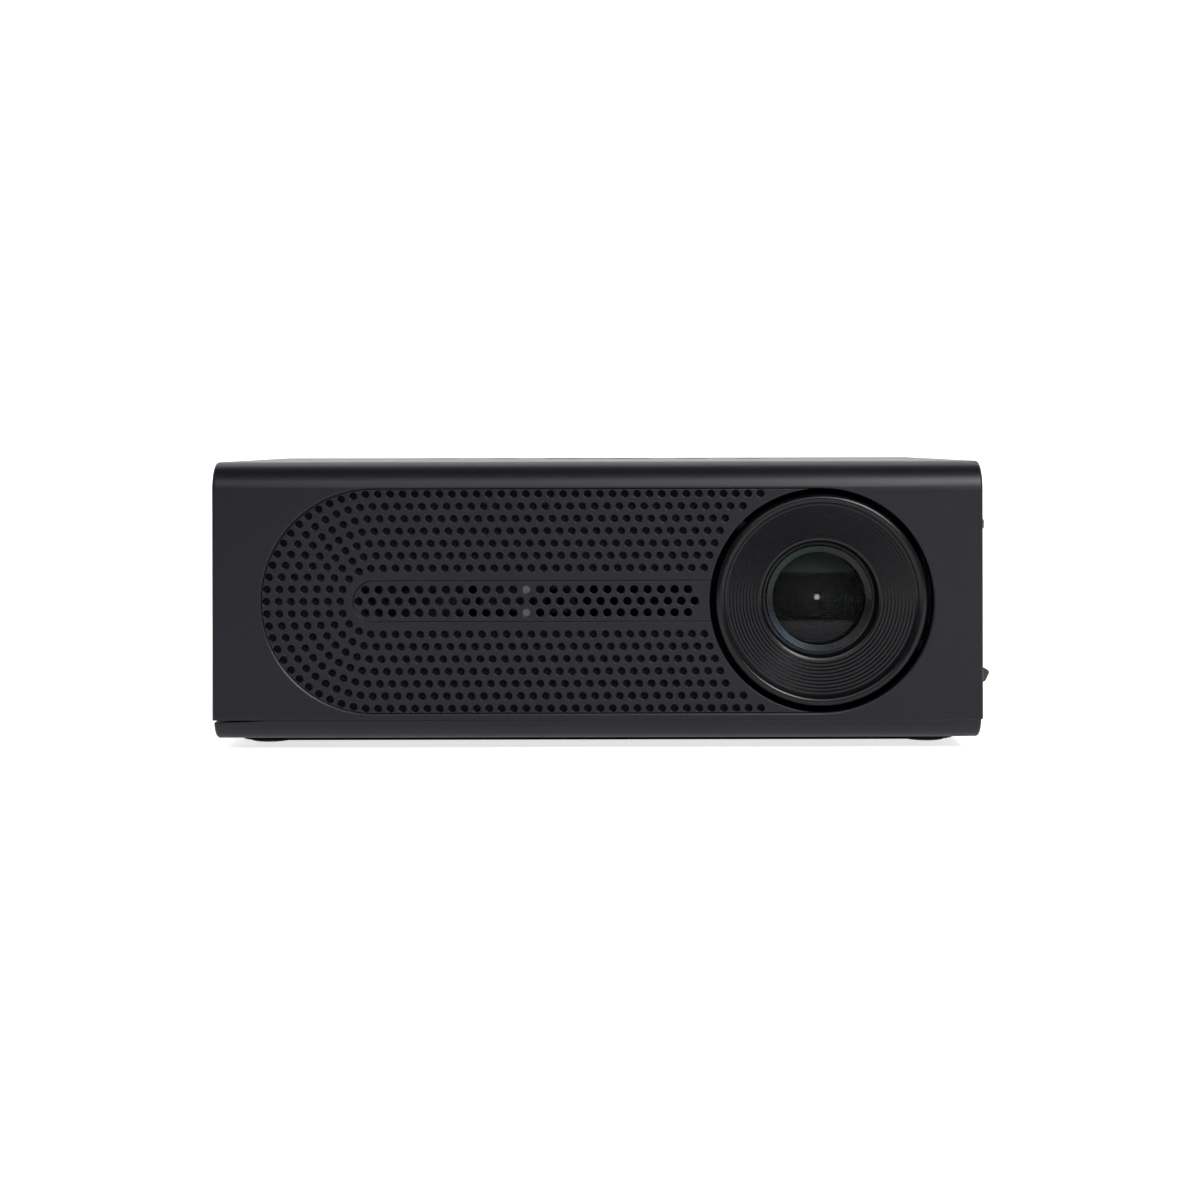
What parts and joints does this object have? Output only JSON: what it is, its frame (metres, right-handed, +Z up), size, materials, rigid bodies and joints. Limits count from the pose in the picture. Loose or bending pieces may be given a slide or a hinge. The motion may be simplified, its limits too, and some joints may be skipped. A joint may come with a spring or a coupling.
{
  "type": "home projector",
  "caption": "Low black box projector: a perforated racetrack front with a stepped lens funnel at one end, a side focus lever, top keys, rear sockets and rubber feet.",
  "frame": {"origin": "under the tripod socket, on the plane of the rubber feet", "axes": "+Z up, the lens looks along -Y, +X is on the right seen from the front"},
  "size_m": [0.1934, 0.1302, 0.0716],
  "materials": {
    "housing_plastic": "fine texture",
    "bezel_plastic": "satin",
    "mesh_plastic": "woven mesh",
    "key_plastic": "satin",
    "soft_rubber": "matte",
    "brass": "machined",
    "screw_steel": "zinc plated",
    "inner_plastic": "moulded",
    "retainer_gloss": "glossy",
    "coated_glass": "anti-reflection coating",
    "optical_glass": "polished",
    "panel_glass": "dark",
    "mirror": "front surface",
    "lamp_board": "white solder mask",
    "lamp_phosphor": "phosphor",
    "fin_aluminium": "black anodised",
    "circuit_board": "solder mask",
    "clear_plastic": "clear",
    "receiver_plastic": "glossy",
    "cone_paper": "coated",
    "magnet_steel": "zinc plated",
    "socket_steel": "nickel plated",
    "socket_plastic": "moulded"
  },
  "bodies": {
    "case": {"audio_socket": "socket_plastic", "bottom_cover": "housing_plastic", "case_screws": "screw_steel", "condenser_lens": "optical_glass", "dust_mesh": "mesh_plastic", "engine_housing": "inner_plastic", "engine_lid": "inner_plastic", "exhaust_fan_frame": "inner_plastic", "fan_duct": "inner_plastic", "focus_slot_trim": "housing_plastic", "fold_mirror": "mirror", "front_fresnel_lens": "optical_glass", "front_grille": "housing_plastic", "grille_centre_strip": "housing_plastic", "heat_sink": "fin_aluminium", "indicator_board": "circuit_board", "inner_screws": "screw_steel", "intake_fan_frame": "inner_plastic", "key_board": "circuit_board", "key_switches": "socket_plastic", "lcd_panel": "panel_glass", "led_board": "lamp_board", "led_emitter": "lamp_phosphor", "lens_bezel": "bezel_plastic", "lens_tube": "inner_plastic", "light_pipes": "clear_plastic", "main_board": "circuit_board", "polarising_heat_glass": "optical_glass", "port_panel": "housing_plastic", "power_board": "circuit_board", "power_inlet": "socket_plastic", "rear_fresnel_lens": "optical_glass", "remote_receiver": "receiver_plastic", "rubber_feet": "soft_rubber", "speaker_basket": "inner_plastic", "speaker_cone": "cone_paper", "speaker_magnet": "magnet_steel", "tripod_insert": "brass", "upper_housing": "housing_plastic", "usb_socket": "socket_steel", "video_socket": "socket_steel"},
    "focus_drive": {"focus_ring": "inner_plastic", "focus_lever_cap": "soft_rubber"},
    "lens_group": {"lens_barrel": "inner_plastic", "cam_pins": "screw_steel", "front_retainer": "retainer_gloss", "front_element": "coated_glass", "middle_element": "optical_glass", "rear_element": "optical_glass"},
    "exhaust_rotor": {"exhaust_fan_rotor": "inner_plastic"},
    "intake_rotor": {"intake_fan_rotor": "inner_plastic"},
    "power_button": {"power_key": "key_plastic"},
    "back_button": {"back_key": "key_plastic"},
    "menu_button": {"menu_key": "key_plastic"},
    "source_button": {"source_key": "key_plastic"},
    "ok_button": {"ok_key": "key_plastic"},
    "up_button": {"up_key": "key_plastic"},
    "down_button": {"down_key": "key_plastic"},
    "left_button": {"left_key": "key_plastic"},
    "right_button": {"right_key": "key_plastic"}
  },
  "joints": [
    {"name": "focus_turn", "type": "hinge", "parent": "case", "child": "focus_drive", "pos_m": [0.0552, -0.053, 0.0373], "axis": [0, -1, 0], "range_deg": [0, 44.5]},
    {"name": "barrel_slide", "type": "slide", "parent": "case", "child": "lens_group", "axis": [0, 1, 0], "range_m": [0, 0.0032]},
    {"name": "exhaust_spin", "type": "hinge", "parent": "case", "child": "exhaust_rotor", "pos_m": [-0.0843, 0.01, 0.0373], "axis": [-1, 0, 0], "continuous": true},
    {"name": "intake_spin", "type": "hinge", "parent": "case", "child": "intake_rotor", "pos_m": [0.087, 0.016, 0.0373], "axis": [-1, 0, 0], "continuous": true},
    {"name": "power_press", "type": "slide", "parent": "case", "child": "power_button", "axis": [0, 0, -1], "range_m": [0, 0.0005], "stiffness_N_per_m": 1500},
    {"name": "back_press", "type": "slide", "parent": "case", "child": "back_button", "axis": [0, 0, -1], "range_m": [0, 0.0005], "stiffness_N_per_m": 1500},
    {"name": "menu_press", "type": "slide", "parent": "case", "child": "menu_button", "axis": [0, 0, -1], "range_m": [0, 0.0005], "stiffness_N_per_m": 1500},
    {"name": "source_press", "type": "slide", "parent": "case", "child": "source_button", "axis": [0, 0, -1], "range_m": [0, 0.0005], "stiffness_N_per_m": 1500},
    {"name": "ok_press", "type": "slide", "parent": "case", "child": "ok_button", "axis": [0, 0, -1], "range_m": [0, 0.0005], "stiffness_N_per_m": 1500},
    {"name": "up_press", "type": "slide", "parent": "case", "child": "up_button", "axis": [0, 0, -1], "range_m": [0, 0.0005], "stiffness_N_per_m": 1500},
    {"name": "down_press", "type": "slide", "parent": "case", "child": "down_button", "axis": [0, 0, -1], "range_m": [0, 0.0005], "stiffness_N_per_m": 1500},
    {"name": "left_press", "type": "slide", "parent": "case", "child": "left_button", "axis": [0, 0, -1], "range_m": [0, 0.0005], "stiffness_N_per_m": 1500},
    {"name": "right_press", "type": "slide", "parent": "case", "child": "right_button", "axis": [0, 0, -1], "range_m": [0, 0.0005], "stiffness_N_per_m": 1500}
  ],
  "couplings": [
    {"joint": "focus_turn", "follows": "barrel_slide", "rad_per_m": 242.7}
  ]
}
